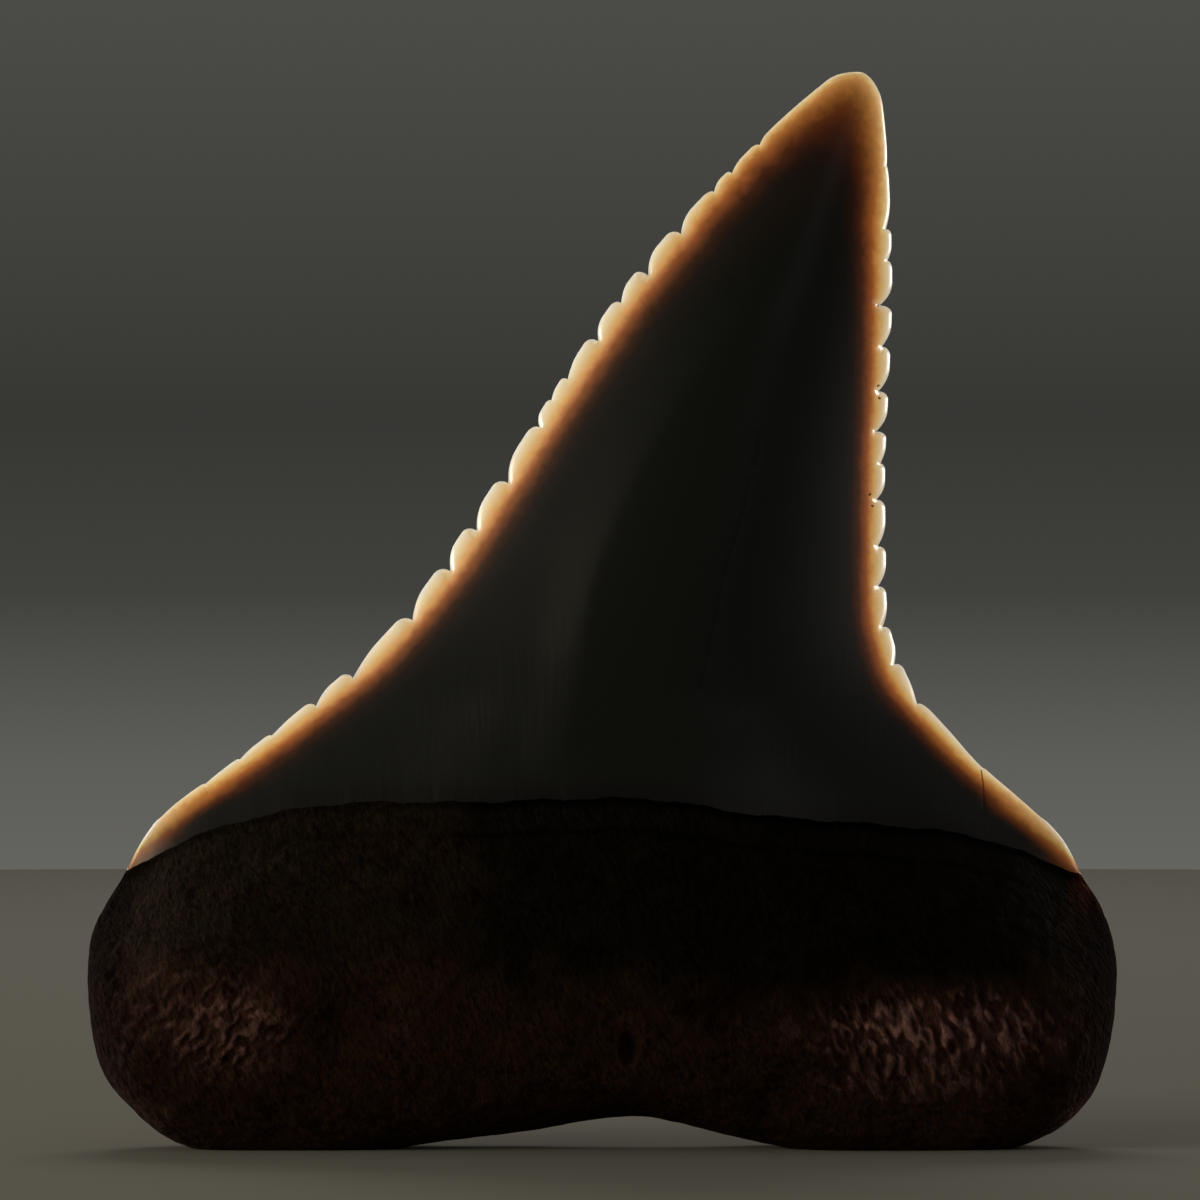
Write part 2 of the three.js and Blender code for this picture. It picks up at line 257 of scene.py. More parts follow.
@dataclass
class ToothOutline:
    """The outline of the tooth: the smooth line of its blank and its serrated rim."""

    steps: int = 12
    margin: float = 0.12
    margin_fade: tuple[float, float] = (11.0, 13.6)
    rim_spacing: float = 0.13

    def __post_init__(self) -> None:
        """Work out the smooth line, its outward directions and the blank."""
        controls = [*MESIAL_SIDE, *TIP_ARC, *DISTAL_SIDE, *BASE]
        self.line = spline(controls, self.steps, closed=True)
        along = np.roll(self.line, -1, axis=0) - np.roll(self.line, 1, axis=0)
        along /= np.linalg.norm(along, axis=1)[:, None]
        self.outward = np.stack([-along[:, 1], along[:, 0]], axis=1)
        self.blank = self.line + self.outward * self.growth(self.line[:, 1])[:, None]
        self.apex = APEX_CONTROL * self.steps
        self.corner = DISTAL_CORNER_CONTROL * self.steps
        self.to_blank = DistanceField(self.blank)
        self.rim, self.inward, self.on_root = self.trace_rim()
        self.to_rim = DistanceField(self.rim)

    def growth(self, heights: Array) -> Array:
        """Return how far the blank reaches past the smooth line at each height."""
        return self.margin * smoothstep(heights, *self.margin_fade)

    def sides(self, heights: Array) -> tuple[Array, Array]:
        """Find both sides of the blank.

        Args:
            heights: The heights to look at.

        Returns:
            The x of its mesial and distal sides at each height.
        """
        left = self.blank[: self.apex + 1]
        right = self.blank[self.apex : self.corner + 1][::-1]
        return (
            np.interp(heights, left[:, 1], left[:, 0]),
            np.interp(heights, right[:, 1], right[:, 0]),
        )

    def cutting_edge(self, rows: Array, notches: Sequence[Point]) -> Array:
        """Trace one serrated edge from the tip down.

        Args:
            rows: The smooth side with its outward directions, rising.
            notches: The side's notches.

        Returns:
            Rows of x, z and the outward direction.
        """
        heights, insets = Serrations(notches).edge()
        smooth = np.stack([np.interp(heights, rows[:, 1], column) for column in rows.T], axis=1)
        offset = np.minimum(self.growth(heights), -insets)
        smooth[:, :2] += smooth[:, 2:] * offset[:, None]
        return smooth

    def trace_rim(self) -> tuple[Array, Array, NDArray[np.bool_]]:
        """Trace the rim that both faces share, clockwise from the distal end of the root.

        Returns:
            Its points, the directions into the tooth and which points are on the root.
        """
        rows = np.hstack([self.line, self.outward])
        crown_foot = MESIAL_NOTCHES[-1][0]
        serration_top = MESIAL_NOTCHES[0][0]
        order = np.arange(len(rows))
        low = rows[:, 1] < crown_foot
        root_start = order[low & (order > self.apex)][0]
        root_end = order[low & (order < self.apex)][-1]
        root = np.vstack([rows[root_start:], rows[: root_end + 1]])
        root[:, :2] += root[:, 2:] * self.growth(root[:, 1])[:, None]
        mesial = self.cutting_edge(rows[: self.apex + 1], MESIAL_NOTCHES)[::-1]
        tip = rows[rows[:, 1] > serration_top]
        distal = self.cutting_edge(rows[self.apex : self.corner + 1][::-1], DISTAL_NOTCHES)
        root = resampled(root, self.rim_spacing)
        tip = resampled(tip, self.rim_spacing)
        rim = np.vstack([root, mesial, tip, distal])
        on_root = np.arange(len(rim)) < len(root)
        return rim[:, :2], -rim[:, 2:], on_root


@dataclass(frozen=True)
class ToothForm:
    """Depths of the tooth across its outline, the same as those of the CAD solid."""

    cutting_edge_y: float = 3.03
    crown_lingual_swell: float = 5.1
    crown_labial_swell: float = 1.0
    crown_foot_height: float = 12
    crown_reach: float = 29
    lingual_taper: float = 1.6
    labial_taper: float = 3
    lingual_dome: float = 1.15
    labial_dome: float = 0.8
    root_rim_y: float = -2.1
    root_lingual_depth: float = 3.3
    root_heel_depth: float = 1.7
    root_heel_x: float = 1.0
    root_heel_width: float = 8
    root_labial_depth: float = 2.9
    root_lingual_rounding: float = 5.6
    root_labial_rounding: float = 2.6
    root_blend_share: float = 0.5
    blade_half_thickness: float = 0.1
    edge_rounding: float = 0.22
    lump_waves: int = 7
    lump_height: float = 0.15
    lump_lengths: tuple[float, float] = (7.5, 3.2)
    lump_turn: float = 2.4
    lump_phase: float = 1.7
    labial_lump_shift: float = 40
    murk: float = 1.06
    distal_murk: float = 0.4
    distal_start: tuple[float, float] = (-0.2, 0.6)
    # Painted shade: the shoulders' rim gets a deeper depth, and so a darker colour, to dim the glow
    # that the lamps put there.
    shoulder_shade_gain: float = 0.06
    shoulder_shade: float = 0.58
    shoulder_fade: tuple[float, float] = (-18.0, -12.5)
    tip_start: tuple[float, float] = (32.0, 37.0)
    tip_least: float = 1.18
    tip_gain: float = 0.94
    tip_reach: float = 0.55
    tip_slope: float = 0.16
    tip_core: tuple[float, float] = (0.5, 1.8)
    # A deeper depth near the root and at the low ends, which dims and reddens the painted glow there.
    foot_deepening: float = 1.1
    foot_deepening_fade: tuple[float, float] = (-1.3, -0.3)
    end_deepening: float = 1.42
    end_clarity: float = 0.66
    end_start: tuple[float, float] = (13.6, 17.0)

    def optical_depth(self, thickness: Array, across: Array, z: Array, edge: Array) -> Array:
        """Work out the crown's optical depth, which sets its painted glow and where light passes
        through it.

        The thin tip gets an even depth, so that its painted glow reaches all through it.

        Args:
            thickness: The crown's thickness.
            across: The place from the mesial side, -1, to the distal side, 1.
            z: The height.
            edge: The distance to the rim.

        Returns:
            The depth of clear enamel that would stop as much light.
        """
        distal = smoothstep(across, *self.distal_start)
        # Painted shade on the shoulders' rim, dimming its painted glow.
        shoulder = smoothstep(-z, *self.shoulder_fade)
        factor = self.murk + self.distal_murk * distal + self.shoulder_shade_gain * shoulder
        body = thickness * factor + self.shoulder_shade * shoulder
        tip = self.tip_least + self.tip_gain * (1 - np.exp(-edge / self.tip_reach))
        below = np.maximum(0, TIP_ARC[0][1] - z)
        tip += self.tip_slope * below * smoothstep(edge, *self.tip_core)
        return body + smoothstep(z, *self.tip_start) * (tip - body)

    def deepened_foot(self, optical: Array, x: Array, above: Array) -> Array:
        """Deepen the optical depth near the root and at the crown's two low ends, which dims and
        reddens the painted glow there.

        Args:
            optical: The optical depth without it.
            x: The place across the tooth.
            above: The height above the enamel's lower edge.

        Returns:
            The optical depth with it.
        """
        end = smoothstep(np.abs(x), *self.end_start)
        ends = optical * (1 - self.end_clarity * end) + self.end_deepening * end
        foot = self.foot_deepening * smoothstep(-above, *self.foot_deepening_fade)
        return ends + foot * (1 - self.end_clarity * end)

    def lumps(self, x: Array, z: Array) -> Array:
        """Work out the worn root's lumps, waves that cross at many angles.

        Args:
            x: The place across the tooth.
            z: The height.

        Returns:
            How far the lumps stand out.
        """
        total = np.zeros_like(x)
        longest, shortest = self.lump_lengths
        for k in range(self.lump_waves):
            length = longest + (shortest - longest) * k / (self.lump_waves - 1)
            along = x * math.cos(k * self.lump_turn) + z * math.sin(k * self.lump_turn)
            total += np.sin(2 * math.pi * along / length + k * self.lump_phase)
        return self.lump_height * total / math.sqrt(self.lump_waves)

    def depths(self, outline: ToothOutline, places: Array) -> dict[str, Array]:
        """Work out the two faces at places of the outline.

        Args:
            outline: The tooth's outline.
            places: Rows of x and z.

        Returns:
            The y of the lingual face, the labial face and the rim, with the crown's
            thickness, the distance to the rim and the share of crown in the form.
        """
        x, z = places.T
        to_blank = outline.to_blank(places)
        to_rim = outline.to_rim(places)
        foot_line = spline(LINGUAL_FOOT, outline.steps, closed=False)
        foot = np.interp(x, foot_line[:, 0], foot_line[:, 1])
        crown = smoothstep(z, self.root_blend_share * foot, foot)
        left, right = outline.sides(z)
        across = (2 * x - left - right) / np.maximum(right - left, outline.margin)
        dome = np.maximum(0, 1 - across**2)
        rise = np.maximum(0, z - self.crown_foot_height) / self.crown_reach
        blade = self.blade_half_thickness * np.clip(to_blank / outline.margin, 0, 1)
        rounding = quarter_circle(to_rim / self.edge_rounding)
        lingual = self.crown_lingual_swell * (1 - rise**self.lingual_taper) * dome**self.lingual_dome
        labial = self.crown_labial_swell * (1 - rise**self.labial_taper) * dome**self.labial_dome
        lingual = (lingual + blade) * rounding
        labial = (labial + blade) * rounding
        heel = np.exp(-(((x - self.root_heel_x) / self.root_heel_width) ** 2))
        root_lingual = self.root_lingual_depth + self.root_heel_depth * heel + self.lumps(x, z)
        root_lingual *= quarter_circle(to_blank / self.root_lingual_rounding)
        root_labial = self.root_labial_depth + self.lumps(x + self.labial_lump_shift, z)
        root_labial *= quarter_circle(to_blank / self.root_labial_rounding)
        root_share = (1 - crown) * self.root_rim_y
        return {
            "lingual": root_share - (1 - crown) * root_lingual - crown * lingual,
            "labial": root_share + (1 - crown) * root_labial + crown * labial,
            "rim": root_share,
            "optical": self.optical_depth(lingual + labial, across, z, to_rim),
            "edge": to_rim,
            "crown": crown,
        }


@dataclass(frozen=True)
class Patch:
    """An elliptical patch of a face, strongest in its middle."""

    x: float
    z: float
    half_width: float
    half_height: float

    def strength(self, x: Array, z: Array) -> Array:
        """Work out how strongly places are in the patch.

        Args:
            x: The place across the tooth.
            z: The height.

        Returns:
            The strength, from 0 to 1.
        """
        across = (x - self.x) / self.half_width
        up = (z - self.z) / self.half_height
        return np.exp(-((across**2 + up**2) ** 1.5))


@dataclass(frozen=True)
class RoughLobe:
    """A worn lobe of the root, covered with short wavy crests that lean one way."""

    patch: Patch
    lean_degrees: float
    crest_height: float
    crest_spacing: float = 0.23
    crest_length: float = 0.55
    crest_contrast: float = 1.3
    bend_scale: float = 1.6
    waviness: float = 0.16

    def crest(self, place: Vector) -> float:
        """Work out how much a place is on a crest.

        Args:
            place: The place in millimetres.

        Returns:
            The share, from 0 between the crests to 1 on top of one.
        """
        lean = math.radians(self.lean_degrees)
        bent = place + noise.noise_vector(place * self.bend_scale) * self.waviness
        across = bent.x * math.cos(lean) - bent.z * math.sin(lean)
        along = bent.x * math.sin(lean) + bent.z * math.cos(lean)
        height = noise.noise((across / self.crest_spacing, bent.y, along / self.crest_length))
        return min(1.0, max(0.0, 0.5 + self.crest_contrast * height))


@dataclass(frozen=True)
class Scar:
    """A fine crack in the enamel or, where its path is short, a small pit."""

    path: tuple[Point, ...]
    half_width: float = 0.045
    depth: float = 0.02
    step: float = 0.09

    def line(self) -> Array:
        """Return evenly spaced points along the path, as rows of x and z."""
        return resampled(np.array(self.path), self.step)

    def places(self) -> Array:
        """Place the points that the mesh needs for the scar.

        Returns:
            Rows of x and z, along the path, on both of its banks and past its ends.
        """
        line = self.line()
        along = np.gradient(line, axis=0)
        along /= np.linalg.norm(along, axis=1)[:, None]
        bank = np.stack([-along[:, 1], along[:, 0]], axis=1) * self.half_width
        ends = np.stack([line[0] - along[0] * self.half_width, line[-1] + along[-1] * self.half_width])
        return np.vstack([line, line + bank, line - bank, ends])

    def strength(self, places: Array) -> Array:
        """Return how deep in the scar each place is, from 0 to 1."""
        gap = DistanceField(self.line(), closed=False)(places)
        return np.clip(1 - gap / self.half_width, 0, 1)


@dataclass(frozen=True)
class Crease:
    """A soft crease down the lingual face, where its mesial facet ends."""

    path: tuple[Point, ...] = (
        (5.27, 30.7), (3.6, 28.7), (1.94, 26.3), (0.83, 24.05), (-0.09, 21.8), (-0.54, 19.6),
        (-0.9, 17.0), (-1.4, 14.9),
    )
    height: float = 0.13
    reach: float = 1.05
    hollow: float = 0.035
    hollow_place: float = 1.7
    hollow_reach: float = 0.8
    top_rounding: float = 0.02
    steps: int = 6
    spacing: float = 0.2

    def rise(self, places: Array) -> Array:
        """Work out how far the face stands out near the crease.

        Args:
            places: Rows of x and z.

        Returns:
            The rise. It is below 0 in the shallow hollow on the crease's mesial side.
        """
        line = resampled(spline(self.path, self.steps, closed=False), self.spacing)
        gap = DistanceField(line, closed=False)(places)
        mesial = places[:, 0] < np.interp(places[:, 1], line[::-1, 1], line[::-1, 0])
        hollow = np.exp(-(((gap - self.hollow_place) / self.hollow_reach) ** 2))
        ridge = np.exp(-np.sqrt(gap**2 + self.top_rounding) / self.reach)
        return self.height * ridge - self.hollow * hollow * mesial


@dataclass
class Density:
    """How finely the faces are meshed, with spacings and reaches in millimetres."""

    root_ring_step: tuple[float, float] = (0.13, 0.2)
    root_ring_reach: tuple[float, float] = (1.6, 1.2)
    crown_rings: tuple[float, ...] = (0.025, 0.07, 0.13, 0.2)
    root: tuple[float, float] = (0.13, 0.2)
    crown_band: float = 0.18
    crown_band_reach: float = 2.4
    crown: float = 0.28
    patch: float = 0.072
    patch_least: float = 0.3
    foot: float = 0.09
    foot_zone: tuple[float, float] = (-1.0, 0.5)
    ring_clearance: float = 0.6
    mark_clearance: float = 0.05


@dataclass
class Tooth:
    """The whole tooth as one closed mesh, its triangles numbered for an enamel finish and a root
    finish.
    """

    outline: ToothOutline
    form: ToothForm
    density: Density
    noise_seed: int = 3
    lobes: tuple[RoughLobe, ...] = (
        RoughLobe(Patch(12.2, 4.3, 4.1, 1.7), -24, 0.18),
        RoughLobe(Patch(-14.1, 4.7, 2.8, 1.7), 38, 0.13),
    )
    # Where the root is paler: partly wear, partly painted highlights where light catches the lobes and
    # the low edges.
    wear_and_highlight_spots: tuple[tuple[Patch, float], ...] = (
        (Patch(12.3, 4.5, 3.9, 1.2), 1.0),
        (Patch(11.4, 2.9, 3.3, 1.5), 0.32),
        (Patch(12.6, 1.2, 4.2, 1.0), 0.3),
        (Patch(-14.0, 4.7, 2.1, 1.5), 0.5),
        (Patch(-15.4, 5.3, 3.4, 1.7), 0.15),
        (Patch(1.4, 3.6, 2.2, 1.5), 0.05),
        (Patch(17.6, 1.5, 0.9, 0.8), 0.5),
        (Patch(-18.2, 2.5, 0.7, 1.1), 0.25),
    )
    labial_crests: float = 0.12
    least_crests: float = 0.05
    labial_pale: float = 0.06
    grain_height: float = 0.05
    grain_scale: float = 2.3
    sway_scale: float = 0.55
    smooth_band: tuple[float, float] = (-1.5, -0.9)
    smooth_band_calm: float = 0.7
    foramen: Patch = Patch(1.0, 3.9, 0.42, 0.75)
    foramen_surround: Patch = Patch(1.0, 3.9, 0.9, 1.2)
    foramen_depth: float = 0.45
    foot_ripples: tuple[tuple[float, float, float], ...] = (
        (0.04, 2.1, 0.4),
        (0.015, 5.3, 0.0),
        (0.008, 11.7, 2.0),
    )
    foot_lip: float = 0.25
    foot_lip_labial: float = 0.4
    foot_lip_reach: float = 1.6
    foot_lip_start: tuple[float, float] = (-4.0, -0.3)
    foot_grooves: tuple[tuple[float, float], ...] = ((-0.3, 0.12), (-1.2, 0.16))
    foot_groove_depth: float = 0.025
    crease: Crease = Crease()
    scars: tuple[Scar, ...] = (
        Scar(((5.46, 24.8), (5.2, 23.6), (4.53, 21.46), (4.1, 19.4), (3.61, 17.0))),
        Scar(((5.83, 26.6), (5.75, 25.9), (5.64, 25.2))),
        Scar(((14.15, 14.0), (14.22, 13.4), (14.2, 12.6))),
        Scar(((10.24, 31.34), (10.3, 31.36)), 0.08, 0.06),
        Scar(((10.27, 28.34), (10.33, 28.36)), 0.07, 0.05),
        Scar(((10.31, 27.9), (10.37, 27.88)), 0.08, 0.06),
        Scar(((9.95, 24.27), (10.0, 24.3)), 0.07, 0.05),
        Scar(((10.05, 23.87), (10.11, 23.85)), 0.07, 0.05),
        Scar(((10.2, 26.64), (10.25, 26.62)), 0.07, 0.05),
    )

    def rings(self, face: Face) -> Array:
        """Place points in rings inside the rim, close together where the form turns over.

        Args:
            face: The face that the rings are for.

        Returns:
            Rows of x and z.
        """
        density = self.density
        rounding = (self.form.root_lingual_rounding, self.form.root_labial_rounding)[face.index()]
        turn = density.root_ring_step[face.index()] / rounding
        most = math.acos(1 - density.root_ring_reach[face.index()] / rounding)
        root_insets = rounding * (1 - np.cos(np.arange(turn, most, turn)))
        on_root = self.outline.on_root
        found = []
        for insets, chosen in ((root_insets, on_root), (density.crown_rings, ~on_root)):
            for inset in insets:
                places = self.outline.rim[chosen] + self.outline.inward[chosen] * inset
                clear = self.outline.to_rim(places) > density.ring_clearance * inset
                found.append(places[clear])
        return np.concatenate(found)

    def grid(self, spacing: float) -> Array:
        """Lay a grid of even triangles over the whole face.

        Args:
            spacing: The length of the triangles' sides.

        Returns:
            Their corners, as rows of x and z.
        """
        low, high = self.outline.rim.min(axis=0), self.outline.rim.max(axis=0)
        rows = np.arange(low[1], high[1], spacing * math.sqrt(0.75))
        columns = np.arange(low[0], high[0], spacing)
        x, z = np.meshgrid(columns, rows)
        x = x + (np.arange(len(rows)) % 2)[:, None] * spacing / 2
        return np.stack([x.ravel(), z.ravel()], axis=1)

    def inside_points(self, face: Face) -> Array:
        """Choose the points inside the rim of a face: rings, then grids of several spacings.

        Args:
            face: The face to fill.

        Returns:
            Rows of x and z.
        """
        density = self.density
        root_reach = density.root_ring_reach[face.index()]
        lowest, highest = density.foot_zone
        found = [self.rings(face)]
        zones = {
            "patch": density.patch,
            "root": density.root[face.index()],
            "band": density.crown_band,
            "crown": density.crown,
        }
        for name, spacing in zones.items():
            places = self.grid(spacing)
            x, z = places.T
            edge = self.outline.to_rim(places)
            above = self.above_foot(x, z, face)
            patch = self.patch_strength(x, z, face) > density.patch_least
            root = above < highest
            band = edge < density.crown_band_reach
            reach = np.where(above < lowest, root_reach, density.crown_rings[-1])
            chosen = {
                "patch": patch,
                "root": root & ~patch,
                "band": ~root & band,
                "crown": ~root & ~band,
            }[name]
            found.append(places[chosen & (edge > reach + 0.5 * spacing)])
        return np.concatenate(found)

    def patch_strength(self, x: Array, z: Array, face: Face) -> Array:
        """Find where a face needs the finest mesh: the rough lobes and the foramen.

        Args:
            x: The place across the tooth.
            z: The height.
            face: The face to look at.

        Returns:
            How much each place needs it, from 0 to 1.
        """
        if face is Face.LABIAL:
            return np.zeros_like(x)
        patches = [self.foramen_surround, *(lobe.patch for lobe in self.lobes)]
        return np.max([patch.strength(x, z) for patch in patches], axis=0)

    def above_foot(self, x: Array, z: Array, face: Face) -> Array:
        """Measure how far places are above the enamel's lower edge.

        Args:
            x: The place across the tooth.
            z: The height.
            face: The face that they are on.

        Returns:
            The height of each place above that edge.
        """
        controls = (LINGUAL_FOOT, LABIAL_FOOT)[face.index()]
        line = spline(controls, self.outline.steps, closed=False)
        ripple = sum(high * np.sin(pace * x + start) for high, pace, start in self.foot_ripples)
        return z - np.interp(x, line[:, 0], line[:, 1]) - ripple

    def foot_line(self, face: Face) -> tuple[Array, tuple[int, int]]:
        """Trace the enamel's lower edge on a face, from rim to rim.

        Args:
            face: The face that it is on.

        Returns:
            Its points inside the rim, and the numbers of the rim's points at its ends.
        """
        rim = self.outline.rim
        above = self.above_foot(rim[:, 0], rim[:, 1], face)
        ends = []
        for side in (-1, 1):
            chosen = np.flatnonzero(rim[:, 0] * side > 0)
            ends.append(int(chosen[np.abs(above[chosen]).argmin()]))
        left, right = rim[ends[0], 0], rim[ends[1], 0]
        count = round((right - left) / self.density.foot)
        x = np.linspace(left, right, count + 1)[1:-1]
        return np.stack([x, -self.above_foot(x, np.zeros_like(x), face)], axis=1), tuple(ends)

    def face_triangles(self, face: Face) -> tuple[Array, NDArray[np.int64]]:
        """Triangulate one face.

        Args:
            face: The face to triangulate.

        Returns:
            The places of its points, those of the rim first, and its triangles, each
            with its outer side facing out.
        """
        rim = self.outline.rim
        foot, ends = self.foot_line(face)
        inside = self.inside_points(face)
        inside = inside[DistanceField(foot, closed=False)(inside) > self.density.foot / 2]
        marks = np.zeros((0, 2))
        if face is Face.LINGUAL:
            for scar in self.scars:
                gap = DistanceField(scar.line(), closed=False)(inside)
                inside = inside[gap > 1.5 * scar.half_width]
                marks = np.vstack([marks, scar.places()])
            marks = marks[self.outline.to_rim(marks) > self.density.mark_clearance]
        places = np.vstack([rim, foot, marks, inside])
        flat = [Vector(place) for place in places]
        counterclockwise = [list(range(len(rim)))[::-1]]
        chain = [ends[0], *range(len(rim), len(rim) + len(foot)), ends[1]]
        seams = list(zip(chain, chain[1:]))
        made = delaunay_2d_cdt(flat, seams, counterclockwise, 0, 1e-7, True)
        origin = np.array([ids[0] if ids else -1 for ids in made[3]])
        in_rim = np.array([bool(ids) for ids in made[5]])
        triangles = origin[np.array(made[2])[in_rim]]
        a, b, c = (places[triangles[:, k]] for k in range(3))
        turn = (b - a)[:, 0] * (c - a)[:, 1] - (b - a)[:, 1] * (c - a)[:, 0]
        backwards = turn < 0
        triangles[backwards] = triangles[backwards][:, ::-1]
        if face is Face.LABIAL:
            triangles = triangles[:, ::-1]
        kept = np.union1d(np.arange(len(rim)), triangles)
        return places[kept], np.searchsorted(kept, triangles)

    def surface(self) -> tuple[Array, NDArray[np.int64], dict[str, Array]]:
        """Build the closed surface in millimetres, before its fine relief.

        Returns:
            The points, the triangles and what the relief and the finish need to know of
            each point.
        """
        rim_count = len(self.outline.rim)
        points, triangles = [], []
        facts: dict[str, list[Array]] = {}
        offset = 0
        for face in Face:
            places, faces = self.face_triangles(face)
            depths = self.form.depths(self.outline, places)
            y = depths[face.name.lower()].copy()
            y[:rim_count] = depths["rim"][:rim_count]
            x, z = places.T
            kept = slice(0 if face is Face.LINGUAL else rim_count, None)
            points.append(np.stack([x, y, z], axis=1)[kept])
            triangles.append(np.where(faces < rim_count, faces, faces + offset))
            offset += len(places) - rim_count
            depths["above"] = self.above_foot(x, z, face)
            depths["optical"] = self.form.deepened_foot(depths["optical"], x, depths["above"])
            depths["side"] = np.full(len(places), float(face.value))
            for name in ("optical", "edge", "crown", "above", "side"):
                facts.setdefault(name, []).append(depths[name][kept])
        merged = {name: np.concatenate(parts) for name, parts in facts.items()}
        return np.concatenate(points), np.concatenate(triangles), merged

    def normals(self, points: Array, triangles: NDArray[np.int64]) -> Array:
        """Work out the outward directions.

        Args:
            points: The surface's points.
            triangles: Its triangles.

        Returns:
            The outward direction at each point.
        """
        a, b, c = (points[triangles[:, k]] for k in range(3))
        across = np.cross(b - a, c - a)
        total = np.zeros_like(points)
        for k in range(3):
            for axis in range(3):
                total[:, axis] += np.bincount(
                    triangles[:, k], across[:, axis], minlength=len(points)
                )
        return total / np.maximum(np.linalg.norm(total, axis=1), 1e-12)[:, None]

    def relief(self, points: Array, facts: dict[str, Array]) -> tuple[Array, Array]:
        """Work out the fine relief along the outward directions.

        Args:
            points: The surface's points.
            facts: What is known of each point.

        Returns:
            How far each point moves out, and how much it is a crest, from 0 to 1.
        """
        noise.seed_set(self.noise_seed)
        x, z = points[:, 0], points[:, 2]
        above, side = facts["above"], facts["side"]
        shares = [
            np.where(side < 0, lobe.patch.strength(x, z), self.labial_crests) for lobe in self.lobes
        ]
        moved = np.zeros(len(points))
        crest = np.zeros(len(points))
        for k in np.flatnonzero(above < 0.2):
            place = Vector(points[k])
            for lobe, share in zip(self.lobes, shares):
                if share[k] > self.least_crests:
                    top = lobe.crest(place)
                    moved[k] += lobe.crest_height * share[k] * (top - 0.5)
                    crest[k] = max(crest[k], top)
            grain = noise.turbulence(place * self.grain_scale, 3, False)
            moved[k] += self.grain_height * (noise.noise(place * self.sway_scale) - grain)
        root = smoothstep(-above, 0.0, 0.35)
        smooth_band = 1 - self.smooth_band_calm * smoothstep(above, *self.smooth_band)
        calm_rim = 0.35 + 0.65 * smoothstep(facts["edge"], 0.1, 1.2)
        moved *= root * smooth_band * calm_rim
        lip = self.foot_lip * np.where(side < 0, 1, self.foot_lip_labial)
        lip = lip * np.exp(-np.maximum(above, 0) / self.foot_lip_reach)
        moved += lip * smoothstep(above, *self.foot_lip_start) * smoothstep(facts["edge"], 0.1, 2.5)
        for height, width in self.foot_grooves:
            moved -= self.foot_groove_depth * np.exp(-(((above - height) / width) ** 2))
        return moved, crest

    def mark_lingual_face(self, points: Array, facts: dict[str, Array]) -> None:
        """Raise the crease of the lingual face and press in its foramen, cracks and pits.

        Args:
            points: The surface's points, which are moved.
            facts: What is known of each point. The scars are added to it.
        """
        facts["scar"] = np.zeros(len(points))
        lingual = facts["side"] < 0
        places = points[lingual][:, [0, 2]]
        x, z = places.T
        hole = self.foramen
        out = ((x - hole.x) / hole.half_width) ** 2 + ((z - hole.z) / hole.half_height) ** 2
        inward = self.foramen_depth * np.maximum(0, 1 - out) ** 1.5
        inward -= self.crease.rise(places) * facts["crown"][lingual]
        scarred = np.zeros(len(places))
        for scar in self.scars:
            strength = scar.strength(places)
            inward += scar.depth * strength
            scarred = np.maximum(scarred, strength)
        points[lingual, 1] += inward
        facts["scar"][lingual] = scarred

    def wear_and_highlight_share(self, points: Array, facts: dict[str, Array]) -> Array:
        """Work out where the worn root is paler: partly wear, partly painted highlights.

        Args:
            points: The surface's points.
            facts: What is known of each point.

        Returns:
            The share of the paler colour at each point, from 0 to 1.
        """
        x, z = points[:, 0], points[:, 2]
        shares = [level * patch.strength(x, z) for patch, level in self.wear_and_highlight_spots]
        return np.where(facts["side"] < 0, np.max(shares, axis=0), self.labial_pale)

    def sharpen_foot(self, mesh: bpy.types.Mesh, enamel: NDArray[np.bool_]) -> None:
        """Mark the edges between enamel and root as sharp.

        Args:
            mesh: The tooth's mesh.
            enamel: Which of its triangles are enamel.
        """
        edges = np.empty(len(mesh.loops), dtype=np.int32)
        mesh.loops.foreach_get("edge_index", edges)
        coated = np.bincount(edges, np.repeat(enamel, 3), minlength=len(mesh.edges))
        sharp = mesh.attributes.new("sharp_edge", "BOOLEAN", "EDGE")
        sharp.data.foreach_set("value", coated == 1)

    def build(self) -> bpy.types.Object:
        """Build the tooth as a Blender object in metres.

        Returns:
            The object, with the attributes that its finish reads.
        """
        points, triangles, facts = self.surface()
        self.mark_lingual_face(points, facts)
        moved, crest = self.relief(points, facts)
        points += self.normals(points, triangles) * moved[:, None]
        points[:, 1] += self.form.cutting_edge_y
        points[:, 2] = np.maximum(points[:, 2], 0)
        mesh = bpy.data.meshes.new("fossil_tooth")
        mesh.from_pydata((points * MM).tolist(), [], triangles.tolist())
        mesh.shade_smooth()
        enamel = facts["above"][triangles].mean(axis=1) > 0
        mesh.polygons.foreach_set("material_index", np.where(enamel, 0, 1).astype(np.int32))
        self.sharpen_foot(mesh, enamel)
        attributes = {
            "optical_mm": facts["optical"],
            "above_foot_mm": facts["above"],
            "scar": facts["scar"],
            "crest": crest,
            # Paler root, partly wear and partly painted highlights.
            "pale": self.wear_and_highlight_share(points, facts),
        }
        for name, values in attributes.items():
            layer = mesh.attributes.new(name, "FLOAT", "POINT")
            layer.data.foreach_set("value", values.astype(np.float32))
        tooth = bpy.data.objects.new("fossil_tooth", mesh)
        bpy.context.collection.objects.link(tooth)
        LOG.info("fossil_tooth: %d points, %d triangles", len(points), len(triangles))
        return tooth


